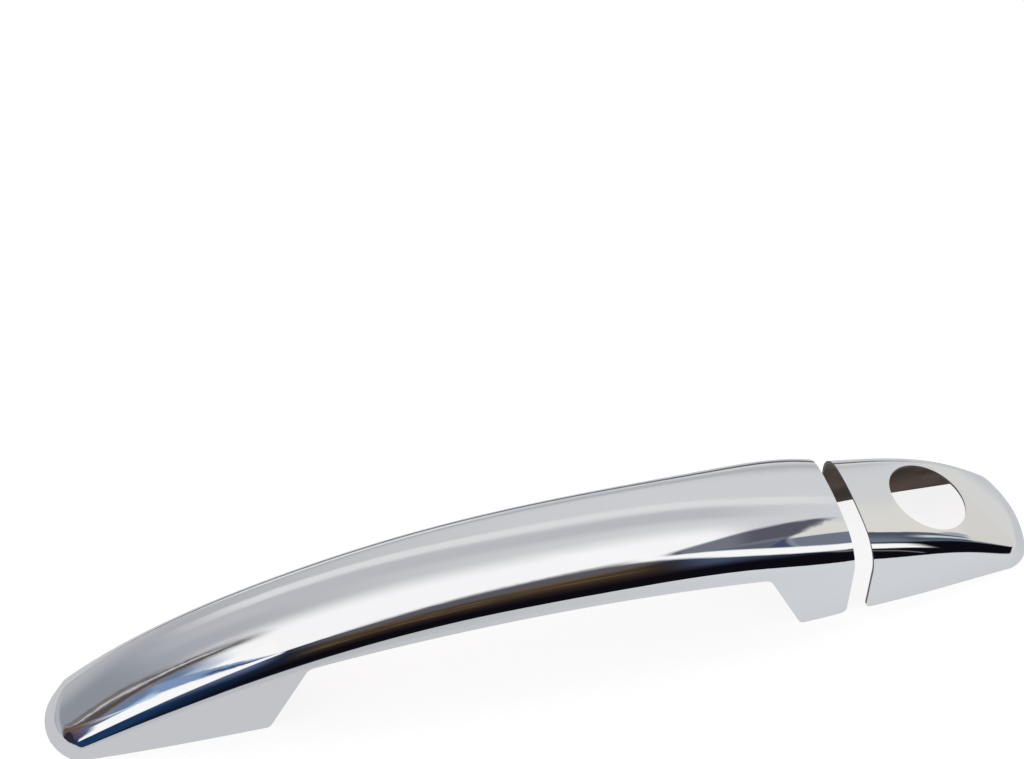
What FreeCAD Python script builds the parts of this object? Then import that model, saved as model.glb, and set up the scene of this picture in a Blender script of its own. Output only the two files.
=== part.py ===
"""Car door handle cover: a bright sheet shell for the pull grip and a short shell for the fixed end.

Both shells lie on their open backs. X runs along the handle from the low tip of the grip to the
nose of the end cap, Y runs across it and Z points away from the door. The rims lie at Z = 0.
"""
import FreeCAD, Part
import math
import os
import Sketcher

# Driving dimensions in millimetres and degrees. Each one becomes a named cell of the sheet.
DIMENSIONS = {
    "sheet_thickness": 0.8,
    "wall_draft": 0.6,
    "crown_radius": 46.0,
    "skirt_angle": 34.0,
    "trim_flare": 4.2,
    "front_growth": 0.15,
    # plan of the grip's tip
    "grip_reach": 126.5,
    "grip_front_radius": 13.4,
    "grip_corner_radius": 7.0,
    "grip_corner_half_width": 11.65,
    # plan of the end cap's nose
    "cap_reach": 126.5,
    "cap_front_radius": 30.0,
    "cap_corner_radius": 8.0,
    "cap_corner_half_width": 14.72,
    # split between the grip and the end cap, which crosses the handle at a small slant
    "grip_end": 72.8,
    "cap_start": 78.0,
    "split_slant": 3.0,
    # opening for the fingers, seen from the side
    "gap_left": -73.4,
    "gap_right": 61.4,
    "gap_shoulder_left": -62.2,
    "gap_shoulder_right": 51.6,
    "gap_shoulder_height": 22.4,
    "gap_arch_radius": 425.0,
    "gap_corner_radius": 3.0,
    "foot_corner_radius": 1.6,
    # hole for the key
    "key_hole_diameter": 20.4,
    "key_hole_at": 99.0,
    # foam tape and the liner that protects it
    "tape_thickness": 1.0,
    "liner_thickness": 0.2,
    # allowances of the construction
    "form_depth": 10.0,
    "form_height": 45.0,
    "trim_depth": 2.0,
    "trim_half_width": 30.0,
    "overrun": 4.0,
    "tool_width": 60.0,
}

# Stations along each form: place along X, height of the crown, radius of the shoulder, half width.
STATIONS = {
    "grip": (
        (-128.0, 1.4, 8.0, 10.5),
        (-112.0, 10.8, 6.0, 12.0),
        (-90.0, 20.4, 5.0, 13.1),
        (-65.0, 27.8, 5.0, 13.8),
        (-30.0, 33.6, 5.4, 14.7),
        (10.0, 34.6, 6.6, 15.7),
        (45.0, 32.9, 8.2, 16.7),
        (76.0, 27.0, 9.8, 16.5),
    ),
    "cap": (
        (73.0, 27.6, 9.8, 16.7),
        (84.0, 24.4, 8.8, 16.6),
        (96.0, 20.7, 7.4, 16.1),
        (107.0, 15.6, 6.0, 15.4),
        (116.0, 9.7, 5.6, 14.8),
        (129.0, -0.1, 7.0, 14.0),
    ),
}

# Tape pads under each crown: first place along X, last place and half width.
TAPES = {
    "grip": (
        (-112.0, -82.0, 5.5),
        (-66.0, -26.0, 6.5),
        (-16.0, 24.0, 6.5),
        (34.0, 66.0, 6.5),
    ),
    "cap": (
        (80.5, 87.0, 8.0),
        (111.5, 117.0, 7.0),
    ),
}

SHEET = "sheet"
WORKINGS = "workings"
RIM = 1e-3
CORNER_TOLERANCE = 0.1
LENGTH_LIMIT = 300.0
TURNED_ABOUT_X = FreeCAD.Rotation(FreeCAD.Vector(1, 0, 0), 90)
TURNED_ABOUT_Z = FreeCAD.Rotation(FreeCAD.Vector(0, 0, 1), 180)
ACROSS_THE_HANDLE = FreeCAD.Rotation(FreeCAD.Vector(1, 1, 1), 120)


def make_sheet(doc):
    """Writes every driving dimension into the sheet, one named cell each."""
    values = dict(DIMENSIONS)
    for side, stations in STATIONS.items():
        for number, station in enumerate(stations, 1):
            for name, value in zip(("station", "crown", "shoulder", "half_width"), station):
                values[f"{side}_{name}_{number}"] = value
    for side, tapes in TAPES.items():
        for number, tape in enumerate(tapes, 1):
            for name, value in zip(("start", "end", "half_width"), tape):
                values[f"{side}_tape_{name}_{number}"] = value
    sheet = doc.addObject("Spreadsheet::Sheet", SHEET)
    for row, (alias, value) in enumerate(values.items(), 1):
        sheet.set(f"A{row}", alias)
        sheet.set(f"B{row}", str(value))
        sheet.setAlias(f"B{row}", alias)
    doc.addObject("Spreadsheet::Sheet", WORKINGS)
    doc.recompute()
    return sheet


class Outline:
    """A closed sketch of lines and arcs, whose named sizes are bound to expressions."""

    def __init__(self, doc, name, rotation):
        self.sketch = doc.addObject("Sketcher::SketchObject", name)
        self.sketch.Placement.Rotation = rotation

    def value(self, expression):
        """Present value of an expression, worked out in a cell, for the sketch's first shape."""
        workings = self.sketch.Document.getObject(WORKINGS)
        workings.set("A1", "=" + expression)
        workings.recompute()
        return float(workings.get("A1"))

    def shift(self, axis, expression):
        """Moves the whole sketch along one axis of the part."""
        self.sketch.setExpression("Placement.Base." + axis, expression)

    def line(self, start, end):
        segment = Part.LineSegment(FreeCAD.Vector(*start, 0), FreeCAD.Vector(*end, 0))
        return self.sketch.addGeometry(segment, False)

    def arc(self, centre, radius, first, last):
        circle = Part.Circle(FreeCAD.Vector(*centre, 0), FreeCAD.Vector(0, 0, 1), radius)
        return self.sketch.addGeometry(Part.ArcOfCircle(circle, first, last), False)

    def add(self, *arguments):
        return self.sketch.addConstraint(Sketcher.Constraint(*arguments))

    def join(self, kind, first, second):
        """Joins the end of one piece to the start of the next, as Coincident or Tangent."""
        self.add(kind, first, 2, second, 1)

    def bind(self, index, name, expression):
        self.sketch.renameConstraint(index, name)
        self.sketch.setExpression("Constraints." + name, expression)

    def radius(self, piece, name, expression):
        self.bind(self.add("Radius", piece, self.value(expression)), name, expression)

    def place(self, axis, piece, point, name, expression):
        """Fixes one coordinate of a point, measured from the origin of the sketch."""
        value = self.value(expression)
        kind = "Distance" + axis
        if value < 0:
            index = self.add(kind, piece, point, -1, 1, -value)
            self.bind(index, name, f"-({expression})")
        else:
            self.bind(self.add(kind, -1, 1, piece, point, value), name, expression)


def section(doc, side, number, layer, inset):
    """Cross section of a form: drafted walls, round shoulders and a crown, drawn an inset inside."""
    outline = Outline(doc, f"{side}_{layer}_section_{number}", ACROSS_THE_HANDLE)
    place = f"sheet.{side}_station_{number}"
    outline.shift("x", place)
    base_half_width = (
        f"sheet.{side}_half_width_{number} + sheet.form_depth * tan(sheet.wall_draft)"
        f" - ({inset}) / cos(sheet.wall_draft)"
    )
    shoulder_radius = f"sheet.{side}_shoulder_{number} - ({inset})"
    crown_radius = f"sheet.crown_radius - ({inset})"
    crown_centre = f"sheet.{side}_crown_{number} - sheet.crown_radius"

    half = outline.value(base_half_width)
    depth = outline.value("sheet.form_depth")
    radius = outline.value(shoulder_radius)
    crown = outline.value(crown_radius)
    centre_z = outline.value(crown_centre)
    draft = math.radians(outline.value("sheet.wall_draft"))

    # The shoulder touches the wall from inside and the crown from inside.
    along = (math.cos(draft), math.sin(draft))
    wall_distance = along[0] * half - along[1] * depth - radius
    crown_distance = crown - radius
    rise = centre_z * along[1]
    sideways = wall_distance - rise
    reach = math.sqrt(crown_distance ** 2 - sideways ** 2)
    shoulder_y = sideways * along[0] - reach * along[1]
    shoulder_z = centre_z + sideways * along[1] + reach * along[0]
    crown_angle = math.atan2(shoulder_z - centre_z, shoulder_y)
    wall_top = (shoulder_y + radius * along[0], shoulder_z + radius * along[1])

    base = outline.line((-half, -depth), (half, -depth))
    right_wall = outline.line((half, -depth), wall_top)
    right_shoulder = outline.arc((shoulder_y, shoulder_z), radius, draft, crown_angle)
    top = outline.arc((0, centre_z), crown, crown_angle, math.pi - crown_angle)
    left_shoulder = outline.arc(
        (-shoulder_y, shoulder_z), radius, math.pi - crown_angle, math.pi - draft
    )
    left_wall = outline.line((-wall_top[0], wall_top[1]), (-half, -depth))

    outline.join("Coincident", base, right_wall)
    outline.join("Tangent", right_wall, right_shoulder)
    outline.join("Tangent", right_shoulder, top)
    outline.join("Tangent", top, left_shoulder)
    outline.join("Tangent", left_shoulder, left_wall)
    outline.join("Coincident", left_wall, base)
    outline.add("Horizontal", base)
    outline.add("PointOnObject", top, 3, -2)
    outline.add("Equal", right_shoulder, left_shoulder)
    outline.add("Equal", right_wall, left_wall)
    outline.place("Y", base, 1, "depth", "-sheet.form_depth")
    outline.place("X", base, 1, "left_half", f"-({base_half_width})")
    outline.place("X", base, 2, "right_half", base_half_width)
    outline.place("Y", top, 3, "crown_centre", crown_centre)
    outline.radius(top, "crown_radius", crown_radius)
    outline.radius(right_shoulder, "shoulder_radius", shoulder_radius)
    lean = outline.add("Angle", right_wall, math.pi / 2 + draft)
    outline.bind(lean, "lean", "90 deg + sheet.wall_draft * 1 deg")
    return outline.sketch


def form(doc, side, layer, inset):
    """The smooth body through all cross sections of one side, drawn an inset inside."""
    loft = doc.addObject("Part::Loft", f"{side}_{layer}_form")
    count = len(STATIONS[side])
    loft.Sections = [section(doc, side, number, layer, inset) for number in range(1, count + 1)]
    loft.Solid = True
    loft.Ruled = False
    return loft


def tangent_point(corner, centre, radius, side):
    """Where a line from a far corner touches a round corner, on the given side of it."""
    across = (centre[0] - corner[0], centre[1] - corner[1])
    distance = math.hypot(*across)
    length = math.sqrt(distance ** 2 - radius ** 2)
    heading = math.atan2(across[1], across[0]) + side * math.asin(radius / distance)
    return corner[0] + length * math.cos(heading), corner[1] + length * math.sin(heading)


def plan_outline(doc, name, side, end, inset, height):
    """Plan of a rounded end at one height: front arc, two corner arcs, sides and a slanted end."""
    turn = TURNED_ABOUT_Z if side == "grip" else FreeCAD.Rotation()
    sign = -1 if side == "grip" else 1
    outline = Outline(doc, name, turn)
    outline.shift("z", height)
    front_reach = f"sheet.{side}_front_radius + ({height}) * sheet.front_growth"
    front_radius = f"{front_reach} - ({inset})"
    corner_radius = f"sheet.{side}_corner_radius - ({inset})"
    corner_reach = (
        f"sheet.{side}_corner_half_width - sheet.{side}_corner_radius"
        f" + ({height}) * tan(sheet.trim_flare)"
    )
    front_centre = (
        f"sheet.{side}_reach - ({front_reach}) - ({height}) * tan(sheet.skirt_angle)"
    )
    wide = "sheet.trim_half_width"
    slant = f"{sign} * tan(sheet.split_slant) * ({wide})"
    near_end = f"{sign} * ({end}) + {slant}"
    far_end = f"{sign} * ({end}) - {slant}"

    radius = outline.value(corner_radius)
    front = outline.value(front_radius)
    reach = outline.value(corner_reach)
    centre = outline.value(front_centre)
    corner_x = centre + math.sqrt((front - radius) ** 2 - reach ** 2)
    near = (outline.value(near_end), -sign * outline.value(wide))
    far = (outline.value(far_end), sign * outline.value(wide))
    low, high = (near, far) if near[1] < 0 else (far, near)
    low_end, high_end = (near_end, far_end) if near[1] < 0 else (far_end, near_end)
    low_touch = tangent_point(low, (corner_x, -reach), radius, -1)
    high_touch = tangent_point(high, (corner_x, reach), radius, 1)
    turn_angle = math.atan2(reach, corner_x - centre)
    low_angle = math.atan2(low_touch[1] + reach, low_touch[0] - corner_x)
    high_angle = math.atan2(high_touch[1] - reach, high_touch[0] - corner_x)

    low_side = outline.line(low, low_touch)
    low_corner = outline.arc((corner_x, -reach), radius, low_angle, -turn_angle)
    front_arc = outline.arc((centre, 0), front, -turn_angle, turn_angle)
    high_corner = outline.arc((corner_x, reach), radius, turn_angle, high_angle)
    high_side = outline.line(high_touch, high)
    split = outline.line(high, low)

    outline.join("Tangent", low_side, low_corner)
    outline.join("Tangent", low_corner, front_arc)
    outline.join("Tangent", front_arc, high_corner)
    outline.join("Tangent", high_corner, high_side)
    outline.join("Coincident", high_side, split)
    outline.join("Coincident", split, low_side)
    outline.add("PointOnObject", front_arc, 3, -1)
    outline.add("Equal", low_corner, high_corner)
    outline.place("X", front_arc, 3, "front_centre", front_centre)
    outline.radius(front_arc, "front_radius", front_radius)
    outline.radius(low_corner, "corner_radius", corner_radius)
    outline.place("Y", low_corner, 3, "low_corner_reach", f"-({corner_reach})")
    outline.place("Y", high_corner, 3, "high_corner_reach", corner_reach)
    outline.place("X", low_side, 1, "low_end", low_end)
    outline.place("X", high_side, 2, "high_end", high_end)
    outline.place("Y", low_side, 1, "low_wide", f"-({wide})")
    outline.place("Y", high_side, 2, "high_wide", wide)
    return outline.sketch


def trim(doc, side, layer, end, inset, bottom):
    """Block with the plan of one side. Its rounded end leans in towards the top, as a skirt."""
    loft = doc.addObject("Part::Loft", f"{side}_{layer}_trim")
    loft.Sections = [
        plan_outline(doc, f"{side}_{layer}_plan_low", side, end, inset, bottom),
        plan_outline(doc, f"{side}_{layer}_plan_high", side, end, inset, "sheet.form_height"),
    ]
    loft.Solid = True
    loft.Ruled = True
    return loft


def combine(doc, kind, name, base, tool):
    result = doc.addObject("Part::" + kind, name)
    result.Base = base
    result.Tool = tool
    return result


def shell(doc, side, end, open_end):
    """One open shell: the outer form less the same form drawn one sheet thickness inside."""
    inset = "sheet.sheet_thickness"
    skin_form = form(doc, side, "skin", "0")
    skin_trim = trim(doc, side, "skin", end, "0", "0")
    room_form = form(doc, side, "room", inset)
    room_trim = trim(doc, side, "room", open_end, inset, "-sheet.trim_depth")
    skin = combine(doc, "Common", f"{side}_skin", skin_form, skin_trim)
    room = combine(doc, "Common", f"{side}_room", room_form, room_trim)
    return combine(doc, "Cut", f"{side}_shell", skin, room), room_form


def finger_gap(doc):
    """Block that opens both walls of the grip for the fingers, as a slanted arch from the side."""
    outline = Outline(doc, "finger_gap_profile", TURNED_ABOUT_X)
    left, right = outline.value("sheet.gap_left"), outline.value("sheet.gap_right")
    inner_left = outline.value("sheet.gap_shoulder_left")
    inner_right = outline.value("sheet.gap_shoulder_right")
    height = outline.value("sheet.gap_shoulder_height")
    radius = outline.value("sheet.gap_arch_radius")
    depth = outline.value("sheet.trim_depth")
    middle = (inner_left + inner_right) / 2
    centre_z = height - math.sqrt(radius ** 2 - (inner_right - middle) ** 2)
    first = math.atan2(height - centre_z, inner_right - middle)

    floor = outline.line((left, -depth), (right, -depth))
    right_drop = outline.line((right, -depth), (right, 0))
    right_slope = outline.line((right, 0), (inner_right, height))
    arch = outline.arc((middle, centre_z), radius, first, math.pi - first)
    left_slope = outline.line((inner_left, height), (left, 0))
    left_drop = outline.line((left, 0), (left, -depth))
    pieces = (floor, right_drop, right_slope, arch, left_slope, left_drop)
    for piece, following in zip(pieces, pieces[1:] + pieces[:1]):
        outline.join("Coincident", piece, following)
    outline.add("Horizontal", floor)
    outline.add("Vertical", right_drop)
    outline.add("Vertical", left_drop)
    outline.radius(arch, "arch_radius", "sheet.gap_arch_radius")
    outline.place("Y", floor, 1, "depth", "-sheet.trim_depth")
    outline.place("X", floor, 1, "left", "sheet.gap_left")
    outline.place("X", floor, 2, "right", "sheet.gap_right")
    outline.add("PointOnObject", right_slope, 1, -1)
    outline.add("PointOnObject", left_drop, 1, -1)
    outline.place("X", right_slope, 2, "shoulder_right", "sheet.gap_shoulder_right")
    outline.place("Y", right_slope, 2, "shoulder_right_height", "sheet.gap_shoulder_height")
    outline.place("X", left_slope, 1, "shoulder_left", "sheet.gap_shoulder_left")
    outline.place("Y", left_slope, 1, "shoulder_left_height", "sheet.gap_shoulder_height")

    block = doc.addObject("Part::Extrusion", "finger_gap_block")
    block.Base = outline.sketch
    block.DirMode = "Normal"
    block.Solid = True
    block.Symmetric = True
    block.setExpression("LengthFwd", "sheet.tool_width")
    doc.recompute()
    corners = [
        number
        for number, edge in enumerate(block.Shape.Edges, 1)
        if edge.BoundBox.YLength > outline.value("sheet.tool_width") / 2
        and abs(edge.BoundBox.ZMax - height) < RIM
    ]
    return rounded(doc, "finger_gap", block, corners, outline.value("sheet.gap_corner_radius"))


def rounded(doc, name, base, edges, radius):
    """The base with the numbered edges rounded."""
    result = doc.addObject("Part::Fillet", name)
    result.Base = base
    result.Edges = [(number, radius, radius) for number in edges]
    return result


def foot_corners(shape, thickness):
    """Numbers of the edges through the sheet where the side of a foot meets its rim."""
    numbers = []
    for number, edge in enumerate(shape.Edges, 1):
        box = edge.BoundBox
        on_rim = abs(box.ZMax) < RIM and abs(box.ZMin) < RIM
        if on_rim and abs(edge.Length - thickness) < thickness * CORNER_TOLERANCE:
            numbers.append(number)
    return numbers


def grip_cover(doc, sheet):
    """Shell of the pull grip, with the finger gap that leaves a foot at each end."""
    whole, room_form = shell(doc, "grip", "sheet.grip_end", "(sheet.grip_end + sheet.overrun)")
    opened = combine(doc, "Cut", "grip_opened", whole, finger_gap(doc))
    doc.recompute()
    edges = foot_corners(opened.Shape, sheet.sheet_thickness)
    cover = rounded(doc, "grip_cover", opened, edges, sheet.foot_corner_radius)
    cover.Label = "grip_cover"
    return cover, room_form


def end_cap_cover(doc, sheet):
    """Shell of the fixed end, with a round hole for the key that runs straight along Z."""
    whole, room_form = shell(doc, "cap", "sheet.cap_start", "(sheet.cap_start - sheet.overrun)")
    hole = doc.addObject("Part::Cylinder", "key_hole")
    hole.setExpression("Radius", "sheet.key_hole_diameter / 2")
    hole.setExpression("Height", "sheet.form_height")
    hole.setExpression("Placement.Base.x", "sheet.key_hole_at")
    opened = combine(doc, "Cut", "cap_opened", whole, hole)
    doc.recompute()
    edges = foot_corners(opened.Shape, sheet.sheet_thickness)
    cover = rounded(doc, "end_cap_cover", opened, edges, sheet.foot_corner_radius)
    cover.Label = "end_cap_cover"
    return cover, room_form


def tape_pads(doc, side, room_form):
    """Foam pads against the inner face of a crown, each with a liner on its free face."""
    pad_depth = "sheet.sheet_thickness + sheet.tape_thickness"
    tape_form = form(doc, side, "tape", pad_depth)
    liner_form = form(doc, side, "liner", pad_depth + " + sheet.liner_thickness")
    foam = combine(doc, "Cut", f"{side}_foam_layer", room_form, tape_form)
    film = combine(doc, "Cut", f"{side}_film_layer", tape_form, liner_form)
    pieces = []
    for number in range(1, len(TAPES[side]) + 1):
        box = doc.addObject("Part::Box", f"{side}_tape_region_{number}")
        start = f"sheet.{side}_tape_start_{number}"
        half_width = f"sheet.{side}_tape_half_width_{number}"
        box.setExpression("Length", f"sheet.{side}_tape_end_{number} - {start}")
        box.setExpression("Width", f"2 * {half_width}")
        box.setExpression("Height", "sheet.form_height")
        box.setExpression("Placement.Base.x", start)
        box.setExpression("Placement.Base.y", f"-{half_width}")
        for layer, kind in ((foam, "tape"), (film, "liner")):
            piece = combine(doc, "Common", f"{side}_{kind}_{number}", layer, box)
            piece.Label = f"{side}_{kind}_{number}"
            pieces.append(piece)
    return pieces


def check(doc, pieces):
    """Stops if any object failed, or if a piece isn't a valid closed solid."""
    for item in doc.Objects:
        if "Invalid" in item.State or "Error" in item.State:
            raise RuntimeError(f"{item.Label}: {item.State}")
    for piece in pieces:
        shape = piece.Shape
        if shape.isNull() or not shape.isValid() or shape.Volume <= 0:
            raise RuntimeError(f"{piece.Label}: the shape is not valid")
        if shape.BoundBox.XLength > LENGTH_LIMIT:
            raise RuntimeError(f"{piece.Label}: the shape is too long")


def write(pieces):
    os.makedirs("parts", exist_ok=True)
    for piece in pieces:
        shape = piece.Shape
        if len(shape.Solids) == 1:
            shape = shape.Solids[0]
        shape.exportStep(f"parts/{piece.Label}.step")
        box = shape.BoundBox
        print(
            f"{piece.Label}: {len(shape.Solids)} solid, {shape.Volume:.0f} mm3,"
            f" X {box.XMin:.1f} to {box.XMax:.1f}, Y {box.YMin:.1f} to {box.YMax:.1f},"
            f" Z {box.ZMin:.2f} to {box.ZMax:.2f}"
        )


def main():
    doc = FreeCAD.newDocument("door_handle_cover")
    sheet = make_sheet(doc)
    grip, grip_room = grip_cover(doc, sheet)
    cap, cap_room = end_cap_cover(doc, sheet)
    pieces = [grip, cap]
    pieces += tape_pads(doc, "grip", grip_room)
    pieces += tape_pads(doc, "cap", cap_room)
    doc.recompute()
    check(doc, pieces)
    write(pieces)


main()
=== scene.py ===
"""Looks of the car door handle cover: two mirror-bright shells on a white table in a tented studio."""

import math

import bmesh
import bpy
import numpy as np
from mathutils import Matrix, Vector
from mathutils.kdtree import KDTree


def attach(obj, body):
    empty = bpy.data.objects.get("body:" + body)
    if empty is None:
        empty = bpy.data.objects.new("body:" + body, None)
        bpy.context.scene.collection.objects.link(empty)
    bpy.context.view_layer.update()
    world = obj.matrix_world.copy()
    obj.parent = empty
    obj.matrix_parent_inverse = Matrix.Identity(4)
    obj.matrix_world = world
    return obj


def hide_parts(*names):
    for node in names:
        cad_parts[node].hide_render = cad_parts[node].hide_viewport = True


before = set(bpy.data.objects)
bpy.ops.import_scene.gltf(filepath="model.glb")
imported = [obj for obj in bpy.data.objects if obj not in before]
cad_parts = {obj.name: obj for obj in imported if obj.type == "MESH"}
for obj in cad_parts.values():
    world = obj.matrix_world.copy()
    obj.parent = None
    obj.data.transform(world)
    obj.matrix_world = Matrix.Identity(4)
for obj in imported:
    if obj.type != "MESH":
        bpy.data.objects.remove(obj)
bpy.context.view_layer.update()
scene = bpy.context.scene

# Form of the shells in millimetres, as in the CAD source: place, crown, shoulder radius, half width.
STATIONS = {
    "grip": (
        (-128.0, 1.4, 8.0, 10.5),
        (-112.0, 10.8, 6.0, 12.0),
        (-90.0, 20.4, 5.0, 13.1),
        (-65.0, 27.8, 5.0, 13.8),
        (-30.0, 33.6, 5.4, 14.7),
        (10.0, 34.6, 6.6, 15.7),
        (45.0, 32.9, 8.2, 16.7),
        (76.0, 27.0, 9.8, 16.5),
    ),
    "cap": (
        (73.0, 27.6, 9.8, 16.7),
        (84.0, 24.4, 8.8, 16.6),
        (96.0, 20.7, 7.4, 16.1),
        (107.0, 15.6, 6.0, 15.4),
        (116.0, 9.7, 5.6, 14.8),
        (129.0, -0.1, 7.0, 14.0),
    ),
}
CROWN_RADIUS = 46.0
WALL_DRAFT = math.radians(0.6)
SHEET = 0.8
KEY_HOLE_AT = 99.0
KEY_HOLE_REACH = 10.5
SPLIT_BEFORE = 90.0

# Shading of the shells, in millimetres. The rounded ends start at ENDS_FROM on either side.
ENDS_FROM = 104.0
BACK_OF_ENDS_FROM = 118.0
LONGEST_EDGE = 3.0
LONGEST_EDGE_AT_ENDS = 0.8
ROLL_REACH = 2.5
ROLL_SEARCHED_FROM = 100.0
# Faces that look along the form's normal by more than this cosine belong to the form.
ALONG_FORM = 0.97

# Camera, in metres, looking down on the long side of the handle.
CAMERA_AT = (-0.0832, -0.2920, 0.4805)
CAMERA_TOWARDS = (0.1525, 0.6015, -0.7842)
CAMERA_RIGHT = (0.9693, -0.2458, 0.0)
LENS = 78.82


def read(items, attribute, width=1, kind=float):
    """Array of one attribute of all items of a mesh."""
    values = np.zeros(len(items) * width, kind)
    items.foreach_get(attribute, values)
    return values.reshape(-1, width) if width > 1 else values


def unit(vectors):
    return vectors / np.linalg.norm(vectors, axis=1, keepdims=True)


def spline(places, values):
    """Natural cubic spline through a few points, as a function."""
    x, y = np.array(places), np.array(values)
    gap = np.diff(x)
    count = len(x)
    rows = np.eye(count)
    right = np.zeros(count)
    for i in range(1, count - 1):
        rows[i, i - 1 : i + 2] = gap[i - 1], 2 * (gap[i - 1] + gap[i]), gap[i]
        right[i] = 6 * ((y[i + 1] - y[i]) / gap[i] - (y[i] - y[i - 1]) / gap[i - 1])
    bend = np.linalg.solve(rows, right)

    def at(place):
        place = np.clip(place, x[0], x[-1])
        i = np.clip(np.searchsorted(x, place) - 1, 0, count - 2)
        a = (x[i + 1] - place) / gap[i]
        b = 1 - a
        curve = (a**3 - a) * bend[i] + (b**3 - b) * bend[i + 1]
        return a * y[i] + b * y[i + 1] + curve * gap[i] ** 2 / 6

    return at


FORMS = {
    side: [spline([s[0] for s in rows], [s[k] for s in rows]) for k in (1, 2, 3)]
    for side, rows in STATIONS.items()
}


def distance(side, p):
    """Distance outside the form's skin, for points in millimetres."""
    crown, shoulder, half = (f(p[:, 0]) for f in FORMS[side])
    y, z = np.abs(p[:, 1]), p[:, 2]
    cos, sin = math.cos(WALL_DRAFT), math.sin(WALL_DRAFT)
    centre = crown - CROWN_RADIUS
    sideways = cos * half - shoulder - centre * sin
    reach = np.sqrt((CROWN_RADIUS - shoulder) ** 2 - sideways**2)
    shoulder_y = sideways * cos - reach * sin
    shoulder_z = centre + sideways * sin + reach * cos
    on_crown = np.arctan2(z - centre, y) > np.arctan2(shoulder_z - centre, shoulder_y)
    on_shoulder = np.arctan2(z - shoulder_z, y - shoulder_y) > WALL_DRAFT
    from_crown = np.hypot(y, z - centre) - CROWN_RADIUS
    from_shoulder = np.hypot(y - shoulder_y, z - shoulder_z) - shoulder
    from_wall = y * cos + z * sin - cos * half
    return np.where(on_crown, from_crown, np.where(on_shoulder, from_shoulder, from_wall))


def form_normals(side, p):
    """Unit normals of the form at points in millimetres."""
    step = 0.01
    slopes = []
    for axis in range(3):
        move = np.zeros(3)
        move[axis] = step
        slopes.append(distance(side, p + move) - distance(side, p - move))
    return unit(np.stack(slopes, 1))


def round_crease(points, faces, corners, loop_vertex, outer, skirt):
    """Shade the crease between the skin and the skirt of a rounded end as a small roll."""
    loop_face = np.repeat(np.arange(len(faces)), 3)
    on_outer, on_skirt = outer[loop_face], skirt[loop_face]
    of_outer = np.zeros_like(points)
    np.add.at(of_outer, loop_vertex[on_outer], corners[on_outer])
    of_skirt = np.zeros_like(points)
    np.add.at(of_skirt, loop_vertex[on_skirt], faces[loop_face[on_skirt]])
    size_outer = np.linalg.norm(of_outer, axis=1)
    size_skirt = np.linalg.norm(of_skirt, axis=1)
    crease = np.flatnonzero((size_outer > 0) & (size_skirt > 0))
    above = of_outer[crease] / size_outer[crease, None]
    below = of_skirt[crease] / size_skirt[crease, None]
    bent = (above * below).sum(1) < 0.98
    crease, middle = crease[bent], unit((above + below)[bent])
    tree = KDTree(len(crease))
    for number, vertex in enumerate(crease):
        tree.insert(points[vertex], number)
    tree.balance()
    near = np.unique(loop_vertex[on_outer | on_skirt])
    near = near[np.abs(points[near, 0]) > ROLL_SEARCHED_FROM]
    weight = np.zeros(len(points))
    target = np.zeros_like(points)
    for vertex in near:
        _, number, away = tree.find(points[vertex])
        if away < ROLL_REACH:
            part = 1 - away / ROLL_REACH
            weight[vertex] = part * part * (3 - 2 * part)
            target[vertex] = middle[number]
    chosen = (on_outer | on_skirt) & (weight[loop_vertex] > 0)
    share = weight[loop_vertex[chosen]][:, None]
    corners[chosen] = unit(corners[chosen] * (1 - share) + target[loop_vertex[chosen]] * share)


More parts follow.
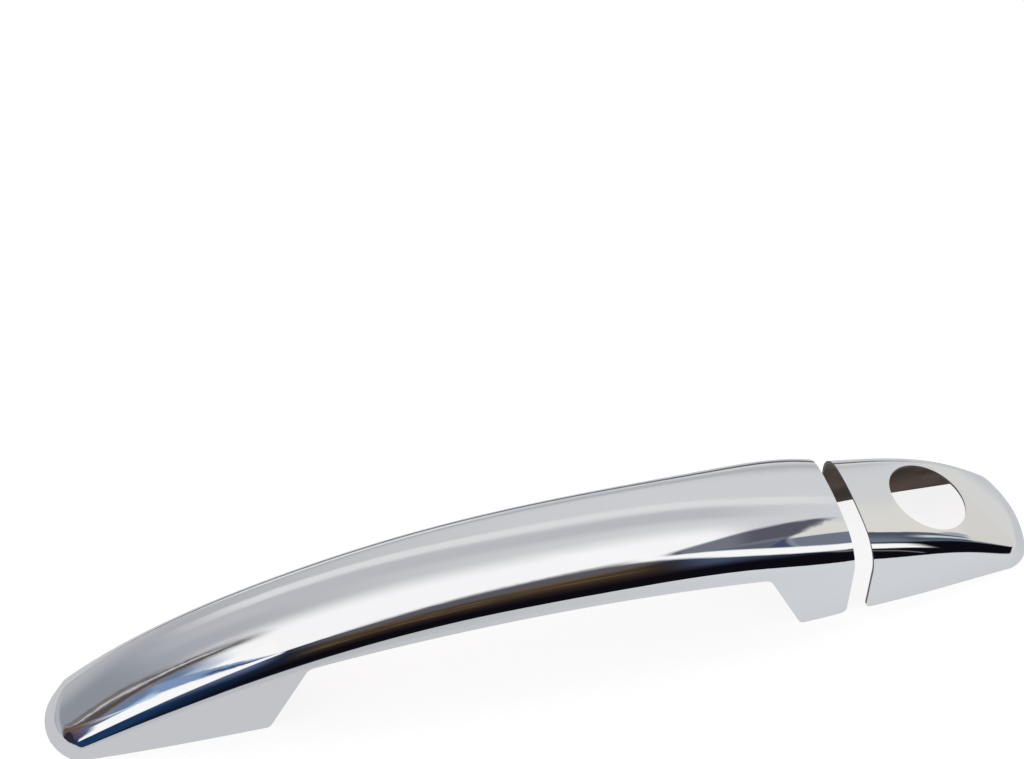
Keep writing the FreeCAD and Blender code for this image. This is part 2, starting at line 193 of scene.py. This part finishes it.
def make_shell(node, name, side, materials):
    """Finer copy of a CAD shell, shaded with the smooth normals of its form."""
    mesh = bpy.data.meshes.new(name)
    work = bmesh.new()
    work.from_mesh(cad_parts[node].data)
    bmesh.ops.remove_doubles(work, verts=work.verts, dist=2e-6)
    bmesh.ops.dissolve_degenerate(work, edges=work.edges, dist=5e-6)
    bmesh.ops.triangulate(work, faces=work.faces)
    sign = 1 if side == "cap" else -1
    for _ in range(4):
        long_edges = []
        for edge in work.edges:
            at_end = edge.verts[0].co.x * sign > ENDS_FROM / 1000
            limit = LONGEST_EDGE_AT_ENDS if at_end else LONGEST_EDGE
            if edge.calc_length() > limit / 1000:
                long_edges.append(edge)
        bmesh.ops.subdivide_edges(work, edges=long_edges, cuts=1)
        bmesh.ops.triangulate(work, faces=work.faces)
    bmesh.ops.recalc_face_normals(work, faces=work.faces)
    work.to_mesh(mesh)
    work.free()
    mesh.shade_smooth()
    mesh.set_sharp_from_angle(angle=math.radians(24))
    for material in materials:
        mesh.materials.append(material)

    points = read(mesh.vertices, "co", 3) * 1000
    faces = read(mesh.polygons, "normal", 3)
    middles = read(mesh.polygons, "center", 3) * 1000
    areas = read(mesh.polygons, "area")
    loop_vertex = read(mesh.loops, "vertex_index", kind=int)
    corners = read(mesh.corner_normals, "vector", 3)

    depth = distance(side, middles)
    facing = (form_normals(side, middles) * faces).sum(1)
    outer = (facing > ALONG_FORM) & (depth > -SHEET / 2)
    inner = (facing < -ALONG_FORM) & (depth < -SHEET / 2)
    normals = form_normals(side, points)
    loop_face = np.repeat(np.arange(len(faces)), 3)
    corners[outer[loop_face]] = normals[loop_vertex][outer[loop_face]]
    corners[inner[loop_face]] = -normals[loop_vertex][inner[loop_face]]
    # The dark inner face is the inside of the form and the back of the rounded end.
    outwards = faces[:, 0] * sign
    towards_middle = (outwards < -0.3) & (np.abs(middles[:, 0]) > BACK_OF_ENDS_FROM)
    inside = inner | (towards_middle & ~outer)
    # The cut edges of the sheet show at the split and in the key hole.
    at_split = (faces[:, 0] < -0.5) & (middles[:, 0] < SPLIT_BEFORE)
    in_hole = np.hypot(middles[:, 0] - KEY_HOLE_AT, middles[:, 1]) < KEY_HOLE_REACH
    cut = (side == "cap") & (at_split | in_hole) & ~outer & ~inner
    mesh.polygons.foreach_set("material_index", np.where(cut, 2, np.where(inside, 1, 0)))
    # The skirt looks outwards and up. Slivers have no true normal, so they are left out.
    skirt = ~outer & ~inner & (outwards > 0.15) & (faces[:, 2] > 0.1)
    skirt &= (middles[:, 0] * sign > ENDS_FROM) & (areas > 2e-9)
    round_crease(points, faces, corners, loop_vertex, outer, skirt)
    mesh.normals_split_custom_set(corners.tolist())
    mesh.update()
    shell = bpy.data.objects.new(name, mesh)
    scene.collection.objects.link(shell)
    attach(shell, "root")
    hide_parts(node)


def tone(red, green, blue):
    """Linear colour of a display tone from 0 to 255."""
    levels = [c / 255 for c in (red, green, blue)]
    return [c / 12.92 if c <= 0.04045 else ((c + 0.055) / 1.055) ** 2.4 for c in levels] + [1.0]


class Number:
    """A number carried by a node tree. Arithmetic on it adds math nodes."""

    def __init__(self, tree, socket):
        self.tree = tree
        self.socket = socket

    def math(self, operation, *others):
        node = self.tree.nodes.new("ShaderNodeMath")
        node.operation = operation
        self.tree.links.new(self.socket, node.inputs[0])
        for number, other in enumerate(others, 1):
            if isinstance(other, Number):
                self.tree.links.new(other.socket, node.inputs[number])
            else:
                node.inputs[number].default_value = other
        return Number(self.tree, node.outputs[0])

    def __add__(self, other):
        return self.math("ADD", other)

    def __sub__(self, other):
        return self.math("SUBTRACT", other)

    def __mul__(self, other):
        return self.math("MULTIPLY", other)

    def __neg__(self):
        return self.math("MULTIPLY", -1.0)

    def size(self):
        """The number without its sign."""
        return self.math("ABSOLUTE")

    def above(self, limit, soft):
        """1 where this is over the limit, 0 where it is under, with a soft edge."""
        node = self.tree.nodes.new("ShaderNodeMapRange")
        node.interpolation_type = "SMOOTHSTEP"
        self.tree.links.new((self - limit).socket, node.inputs["Value"])
        node.inputs["From Min"].default_value = -soft
        node.inputs["From Max"].default_value = soft
        return Number(self.tree, node.outputs[0])

    def below(self, limit, soft):
        """1 where this is under the limit, 0 where it is over, with a soft edge."""
        return (-self).above(-limit, soft)

    def between(self, low, high, soft):
        """1 from low to high and 0 beyond, with soft edges."""
        return self.above(low, soft) * self.below(high, soft)


class Painting:
    """A colour in a node tree, painted in layers."""

    def __init__(self, tree, first):
        self.tree = tree
        node = tree.nodes.new("ShaderNodeRGB")
        node.outputs[0].default_value = first
        self.socket = node.outputs[0]

    def paint(self, mask, colour):
        node = self.tree.nodes.new("ShaderNodeMix")
        node.data_type = "RGBA"
        self.tree.links.new(mask.socket, node.inputs[0])
        self.tree.links.new(self.socket, node.inputs[6])
        if isinstance(colour, Painting):
            self.tree.links.new(colour.socket, node.inputs[7])
        else:
            node.inputs[7].default_value = colour
        self.socket = node.outputs[2]


def axes(tree, vector):
    """The three parts of a vector as numbers."""
    split = tree.nodes.new("ShaderNodeSeparateXYZ")
    tree.links.new(vector, split.inputs[0])
    return [Number(tree, socket) for socket in split.outputs]


def noise(tree, vector, scale, detail=2.0, stretch=(1.0, 1.0, 1.0)):
    """Noise from 0 to 1, stretched along the axes."""
    mapping = tree.nodes.new("ShaderNodeMapping")
    mapping.inputs["Scale"].default_value = stretch
    tree.links.new(vector, mapping.inputs["Vector"])
    texture = tree.nodes.new("ShaderNodeTexNoise")
    texture.inputs["Scale"].default_value = scale
    texture.inputs["Detail"].default_value = detail
    tree.links.new(mapping.outputs[0], texture.inputs["Vector"])
    return Number(tree, texture.outputs["Fac"])


def surface(name):
    """A new material with its tree, shader and object coordinates."""
    material = bpy.data.materials.new(name)
    material.use_nodes = True
    tree = material.node_tree
    shader = tree.nodes["Principled BSDF"]
    place = tree.nodes.new("ShaderNodeTexCoord").outputs["Object"]
    return material, tree, shader, place


def emboss(tree, shader, height, strength):
    """Fine relief on a shader, 0.2 mm deep at full strength."""
    bump = tree.nodes.new("ShaderNodeBump")
    bump.inputs["Strength"].default_value = strength
    bump.inputs["Distance"].default_value = 0.0002
    tree.links.new(height.socket, bump.inputs["Height"])
    tree.links.new(bump.outputs[0], shader.inputs["Normal"])


def bright_metal():
    """Mirror finish with a slight drawing grain along the handle."""
    material, tree, shader, place = surface("bright_sheet")
    shader.inputs["Metallic"].default_value = 1.0
    shader.inputs["Base Color"].default_value = (0.93, 0.93, 0.935, 1)
    cloud = noise(tree, place, 60.0, 3.0, (0.25, 1.0, 1.0))
    tree.links.new((cloud * 0.02 + 0.014).socket, shader.inputs["Roughness"])
    grain = noise(tree, place, 900.0, 2.0, (0.03, 1.0, 1.0))
    emboss(tree, shader, grain, 0.02)
    return material


def dark_metal():
    """The unpolished inner face: brown and satin, darkest high up behind the key hole with painted
    shade.
    """
    material, tree, shader, place = surface("inner_face")
    shader.inputs["Metallic"].default_value = 1.0
    cloud = noise(tree, place, 150.0, 4.0, (0.4, 1.0, 1.0))
    skin = Painting(tree, (0.05, 0.033, 0.022, 1))
    skin.paint(cloud.above(0.52, 0.16), (0.125, 0.09, 0.064, 1))
    x, _, z = axes(tree, place)
    # Painted shade: the base colour darkens high up inside the cap, behind the key hole.
    skin.paint(z.above(0.0125, 0.005) * x.above(0.086, 0.003), (0.018, 0.012, 0.008, 1))
    tree.links.new(skin.socket, shader.inputs["Base Color"])
    tree.links.new((cloud * 0.12 + 0.3).socket, shader.inputs["Roughness"])
    return material


def cut_metal():
    """The sheet's cut edge: dark grey and satin."""
    material, tree, shader, place = surface("cut_edge")
    shader.inputs["Metallic"].default_value = 1.0
    cloud = noise(tree, place, 300.0, 3.0)
    skin = Painting(tree, (0.06, 0.058, 0.06, 1))
    skin.paint(cloud.above(0.5, 0.2), (0.11, 0.107, 0.11, 1))
    tree.links.new(skin.socket, shader.inputs["Base Color"])
    tree.links.new((cloud * 0.1 + 0.25).socket, shader.inputs["Roughness"])
    return material


def foam():
    """Black foam of the tape pads."""
    material, tree, shader, place = surface("foam_tape")
    cells = noise(tree, place, 2600.0, 3.0)
    skin = Painting(tree, (0.028, 0.028, 0.031, 1))
    skin.paint(cells.above(0.55, 0.15), (0.055, 0.055, 0.058, 1))
    tree.links.new(skin.socket, shader.inputs["Base Color"])
    shader.inputs["Roughness"].default_value = 0.85
    emboss(tree, shader, cells, 0.3)
    return material


def film():
    """Red film of the release liners."""
    material, tree, shader, place = surface("release_liner")
    cloud = noise(tree, place, 120.0, 2.0)
    skin = Painting(tree, (0.36, 0.012, 0.01, 1))
    skin.paint(cloud.above(0.5, 0.3), (0.42, 0.02, 0.014, 1))
    tree.links.new(skin.socket, shader.inputs["Base Color"])
    tree.links.new((cloud * 0.1 + 0.2).socket, shader.inputs["Roughness"])
    return material


def studio():
    """The tent, lamps and dark room that the bright sheet mirrors, placed by direction.

    Turn is the angle in degrees round the handle: 0 towards the viewer, 90 overhead, 180 away.
    Lean is the angle in degrees by which the direction leans towards the nose of the end cap.
    """
    world = bpy.data.worlds.new("studio")
    scene.world = world
    world.use_nodes = True
    tree = world.node_tree
    background = tree.nodes["Background"]
    x, y, z = axes(tree, tree.nodes.new("ShaderNodeTexCoord").outputs["Generated"])
    turn = z.math("ARCTAN2", -y) * math.degrees(1)
    lean = x.math("ARCSINE") * math.degrees(1)
    combine = tree.nodes.new("ShaderNodeCombineXYZ")
    tree.links.new(lean.socket, combine.inputs[0])
    tree.links.new(turn.socket, combine.inputs[1])
    wobble = noise(tree, combine.outputs[0], 0.05, 3.0, (0.35, 2.2, 1.0)) - 0.5
    patches = noise(tree, combine.outputs[0], 0.09, 3.0, (1.0, 0.8, 1.0))

    # Tent overhead, darker and bluer towards the tip.
    tent = Painting(tree, tone(161, 166, 174))
    tent.paint(turn.between(112, 152, 8) * lean.below(-38, 10), tone(143, 147, 155))
    tent.paint(lean.above(-31, 14), tone(180, 182, 187))
    tent.paint(lean.above(-14, 14), tone(201, 202, 205))
    tent.paint(lean.above(6, 10), tone(210, 211, 214))
    tent.paint(lean.above(44, 6), tone(215, 214, 210))
    slanted = lean - (turn - 92) * 0.14
    tent.paint(turn.between(80, 108, 3) * slanted.above(35.2, 0.8), tone(221, 220, 214))
    tent.paint(turn.between(80, 128, 4) * lean.above(44, 2), tone(221, 220, 214))
    fold = lean * -0.3 + 134
    crest = (turn - fold).between(0, 6, 1.2) * lean.above(-26, 8) * lean.below(38, 6)
    tent.paint(crest, tone(223, 224, 226))
    tent.paint((turn - fold).between(-9, 0, 3) * lean.between(-30, 30, 10), tone(188, 190, 195))
    tent.paint(turn.between(155, 176, 8) * lean.below(35, 6), tone(180, 182, 187))
    tent.paint(turn.between(172, 190, 4) * lean.between(-16, 6, 5), tone(236, 236, 238))
    lit = turn + lean * 0.2
    tent.paint(lit.below(115, 6) * lean.between(-34, 27, 6), tone(252, 252, 253))

    # Dark front of the room with its furniture.
    top = lean.above(15, 1) * (lean - 15) * 0.6 + 98
    front = Painting(tree, tone(13, 12, 19))
    front.paint(turn.above(33, 14) * lean.between(-22, 18, 6), tone(42, 34, 30))
    front.paint(turn.above(52, 12) * lean.between(-22, 13, 4), tone(72, 60, 46))
    furniture = turn.above(50, 10) * patches.above(0.55, 0.12) * lean.between(-20, 12, 3)
    front.paint(furniture, tone(104, 84, 56))
    front.paint(turn.above(78, 8) * lean.between(-24, 16, 2), tone(90, 88, 94))
    front.paint(lean.below(-22, 6), tone(17, 34, 56))
    front.paint(lean.below(-35, 8) * turn.above(-6, 10), tone(28, 55, 92))
    front.paint(turn.above(58, 22) * lean.below(-26, 3), tone(92, 104, 138))
    front.paint(turn.above(36, 14) * lean.between(17, 38, 4), tone(66, 78, 104))
    front.paint(turn.above(48, 6) * lean.above(35, 1), tone(114, 122, 136))
    front.paint(turn.above(52, 6) * lean.above(44, 2), tone(66, 77, 92))
    front.paint((turn - 69).size().below(5, 5) * lean.above(48, 4), tone(208, 214, 223))
    front.paint((turn - 85).size().below(5, 3) * lean.above(46, 3), tone(96, 99, 106))
    tent.paint(turn.below(top, 1.4) * lean.below(35, 0.8), front)
    tent.paint(turn.below(lean.above(45, 3) * 5 + 84, 1.6) * lean.above(35, 0.8), front)

    # Grey screen beside the right lamp.
    screen = (turn + lean * 2.2).above(132, 2) * turn.below(top, 1.2)
    screen = screen * lean.above(17, 1) * slanted.below(35, 0.8)
    tent.paint(screen, tone(114, 118, 128))
    tent.paint(screen * lean.above(27, 3) * turn.above(92, 3), tone(88, 89, 101))
    tent.paint(screen * turn.between(66, 84, 6), tone(92, 99, 113))

    # Left lamp, with a blue rim above, a blue gap beside it and dark seams beyond.
    lamp_top = (lean + 46).math("MINIMUM", 0.0) * 1.8 + 109
    lamp = (turn - lean * 1.83).above(135.6, 2.4) * turn.below(lamp_top, 1.4)
    lamp = lamp * lean.above(-60.5, 1.5) * lean.below(-24.2, 0.6)
    tent.paint(turn.between(108, 119, 2.0) * lean.between(-56, -33, 5), tone(104, 126, 158))
    tent.paint(turn.between(106, 112.5, 2.0) * lean.between(-57, -33, 5), tone(192, 214, 233))
    tent.paint(lamp, tone(255, 255, 255))
    rise = turn + (lean + 24) * 0.9 - 98
    spread = (-lean - 24) * 0.2 + 0.6
    gap = rise.size().below(spread, 0.7) * lean.between(-42, -23.5, 1.5)
    tent.paint(gap, tone(128, 150, 184))
    gap = (rise + spread * 0.4).size().below(spread * 0.4, 0.6) * lean.between(-34, -23.5, 1.5)
    tent.paint(gap, tone(66, 84, 124))
    seam = turn + lean * 0.32 - 109 + wobble * 7
    thick = (-lean - 24) * 0.17
    tent.paint(seam.size().below(thick + 1.5, 2.2) * lean.below(-25, 3), tone(122, 118, 120))
    tent.paint((seam + 1).size().below(thick * 0.45, 0.6) * lean.below(-27, 3), tone(84, 79, 82))
    tent.paint((seam - thick * 0.6).size().below(0.6, 0.5) * lean.below(-30, 3), tone(198, 196, 194))
    tent.paint((seam - thick * 1.3).size().below(0.5, 0.5) * lean.below(-32, 3), tone(108, 103, 104))
    tent.paint(turn.between(96, 130, 6) * lean.below(-57, 4), tone(104, 84, 76))
    tent.paint(turn.between(36, 100, 6) * lean.below(-63, 2), tone(88, 74, 80))
    tent.paint(turn.below(104, 8) * lean.below(-69, 2), tone(44, 44, 64))

    # Right lamp: a long slanted strip.
    strip = (turn + lean * 4.0).above(146, 6) * (turn + lean * 1.9).above(97.5, 3)
    strip = strip * (turn + lean * 2.2).below(132, 3) * lean.between(9, 42, 2.5)
    tent.paint(strip, tone(254, 254, 255))

    # Beyond the nose the tent turns grey, and it meets the table in the table's own tone.
    grey = (turn - lean * 2.5).below(-50, 5) * turn.between(84, 112, 4) * lean.above(58, 3)
    tent.paint(grey, tone(160, 164, 172))
    tent.paint(lean.above(71, 3) * turn.above(60, 20), tone(214, 213, 208))
    tent.paint(z.below(0.004, 0.004) * lean.above(45, 5) * y.above(0.02, 0.02), tone(216, 215, 213))

    world.cycles.sampling_method = "NONE"
    white = tree.nodes.new("ShaderNodeLightPath").outputs["Is Camera Ray"]
    tent.paint(Number(tree, white), (1, 1, 1, 1))
    tree.links.new(tent.socket, background.inputs["Color"])


def make_table():
    """White table with the object's shadow. The metal mirrors a painted reflection of it instead: a
    glow in greys and darks that go by place.
    """
    bpy.ops.mesh.primitive_plane_add(size=8.0, location=(0, 0, -0.00005))
    table = bpy.context.object
    table.name = "table"
    material, tree, shader, place = surface("table")
    output = tree.nodes["Material Output"]
    shader.inputs["Base Color"].default_value = (0.5, 0.5, 0.5, 1)
    shader.inputs["Roughness"].default_value = 1.0
    shader.inputs["Specular IOR Level"].default_value = 0.0

    x, y, _ = axes(tree, place)
    # Painted reflection: colour of the glow that only the metal sees, pale grey at the base.
    sheet = Painting(tree, tone(199, 201, 205))
    at_left = (y + x * 1.95).below(-0.305, 0.02) * x.below(0.0, 0.02) * y.below(-0.085, 0.01)
    behind = y.between(0.085, 0.20, 0.012) * x.between(-0.16, 0.165, 0.012)
    # Painted reflection: darker towards the front, lighter at the right.
    sheet.paint(y.below(-0.035, 0.012), tone(188, 191, 194))
    sheet.paint(y.below(-0.09, 0.03), tone(184, 187, 190))
    sheet.paint(x.above(0.02, 0.08) * y.below(-0.015, 0.01), tone(211, 214, 218))
    sheet.paint(x.above(0.15, 0.02) * y.above(-0.03, 0.01), tone(216, 216, 214))
    # Painted reflection: dark patches at the front left, far front and right, and a grey patch behind,
    # seen only by the metal.
    sheet.paint(at_left, tone(18, 30, 48))
    sheet.paint(y.below(-0.30, 0.02), tone(14, 14, 20))
    sheet.paint(x.above(0.158, 0.008) * y.below(-0.03, 0.01), tone(12, 12, 18))
    sheet.paint(behind, tone(104, 104, 108))
    # Painted reflection: lighter far behind the handle.
    sheet.paint(y.above(0.5, 0.1) * x.below(0.25, 0.05), tone(226, 227, 228))
    # Painted reflection: this glow stands in for the lit table in the metal's mirror rays.
    painted_reflection_glow = tree.nodes.new("ShaderNodeEmission")
    tree.links.new(sheet.socket, painted_reflection_glow.inputs["Color"])

    glow = tree.nodes.new("ShaderNodeEmission")
    glow.inputs["Strength"].default_value = 0.86
    seen = tree.nodes.new("ShaderNodeAddShader")
    tree.links.new(shader.outputs[0], seen.inputs[0])
    tree.links.new(glow.outputs[0], seen.inputs[1])
    path = tree.nodes.new("ShaderNodeLightPath")
    choose = tree.nodes.new("ShaderNodeMixShader")
    tree.links.new(path.outputs["Is Camera Ray"], choose.inputs[0])
    tree.links.new(painted_reflection_glow.outputs[0], choose.inputs[1])
    tree.links.new(seen.outputs[0], choose.inputs[2])
    tree.links.new(choose.outputs[0], output.inputs["Surface"])
    table.data.materials.clear()
    table.data.materials.append(material)


def make_camera():
    """Camera at the photograph's viewing angle."""
    data = bpy.data.cameras.new("camera")
    data.sensor_fit = "HORIZONTAL"
    data.sensor_width = 36.0
    data.lens = LENS
    data.clip_start = 0.01
    data.clip_end = 50.0
    camera = bpy.data.objects.new("camera", data)
    scene.collection.objects.link(camera)
    back = -Vector(CAMERA_TOWARDS).normalized()
    right = Vector(CAMERA_RIGHT).normalized()
    up = back.cross(right).normalized()
    right = up.cross(back)
    turned = Matrix((right, up, back)).transposed().to_4x4()
    camera.matrix_world = Matrix.Translation(CAMERA_AT) @ turned
    scene.camera = camera


sheet_metals = [bright_metal(), dark_metal(), cut_metal()]
make_shell("grip_cover", "grip_shell", "grip", sheet_metals)
make_shell("end_cap_cover", "end_cap_shell", "cap", sheet_metals)
foam_material, film_material = foam(), film()
for name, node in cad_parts.items():
    if "_tape_" in name or "_liner_" in name:
        node.data.materials.clear()
        node.data.materials.append(foam_material if "_tape_" in name else film_material)
studio()
make_table()
make_camera()
scene.view_settings.view_transform = "Standard"
scene.cycles.max_bounces = 5
scene.cycles.use_denoising = True
